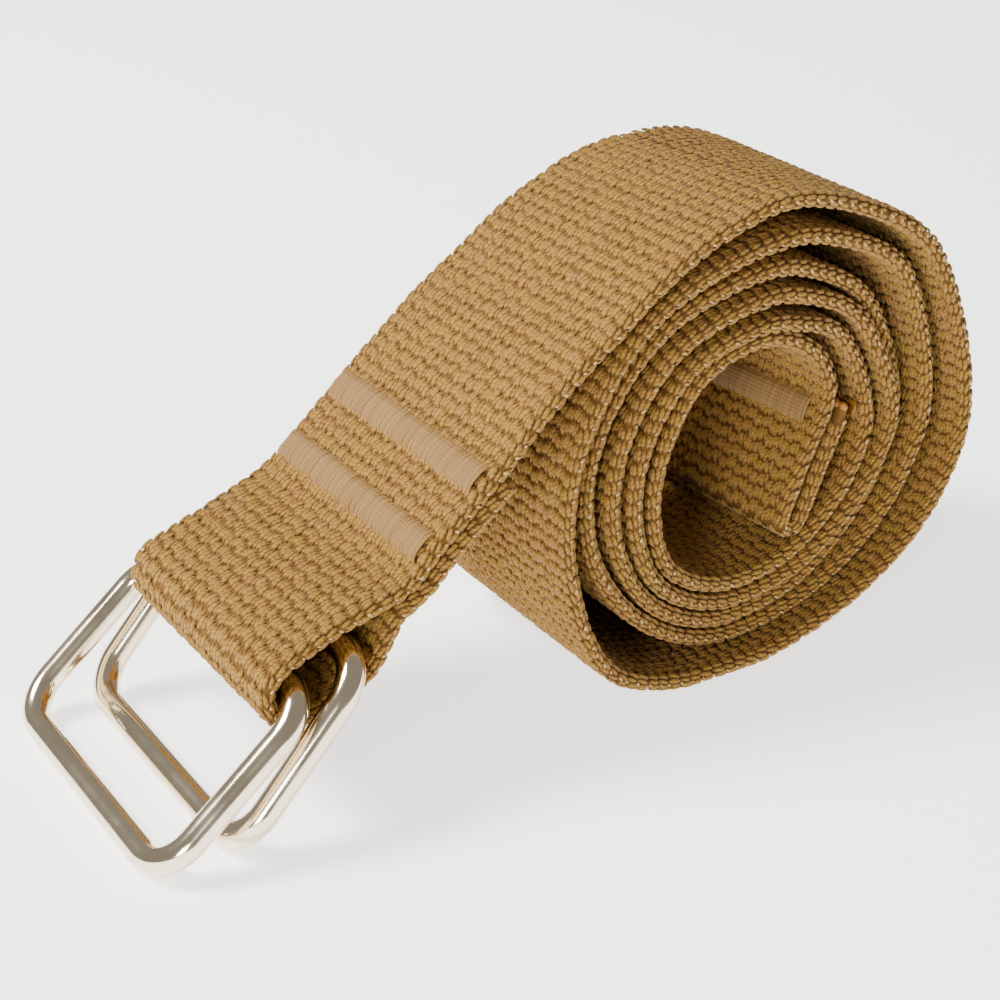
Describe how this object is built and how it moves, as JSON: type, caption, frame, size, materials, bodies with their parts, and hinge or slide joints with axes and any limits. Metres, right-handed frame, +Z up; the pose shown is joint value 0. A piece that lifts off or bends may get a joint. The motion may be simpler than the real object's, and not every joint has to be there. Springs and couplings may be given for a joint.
{
  "type": "trouser belt",
  "caption": "Rolled cotton webbing trouser belt with a pair of rounded rectangular wire rings held in a stitched loop at its outer end.",
  "frame": {"origin": "on the floor below the middle of the whole belt", "axes": "+Z up; +X from the rings towards the roll; the webbing's width runs along Y, and the camera side, where the turns stand proud, is -Y"},
  "size_m": [0.1274, 0.0484, 0.0671],
  "materials": {
    "webbing": "coarse ribbed cotton weave",
    "tack_thread": "dense satin stitching",
    "ring_metal": "polished pale gold plating"
  },
  "bodies": {
    "strap": {"strap": "webbing", "outer_tack": "tack_thread", "inner_tack": "tack_thread", "tip_tack": "tack_thread"},
    "upper_ring": {"upper_ring": "ring_metal"},
    "lower_ring": {"lower_ring": "ring_metal"}
  },
  "joints": [
    {"name": "upper_ring_swing", "type": "hinge", "parent": "strap", "child": "upper_ring", "pos_m": [-0.042, -0.0007, 0.0185], "axis": [0, 1, 0], "range_deg": [0, 130]},
    {"name": "lower_ring_swing", "type": "hinge", "parent": "strap", "child": "lower_ring", "pos_m": [-0.0346, -0.0007, 0.0211], "axis": [0, 1, 0], "range_deg": [-100, 0]}
  ]
}
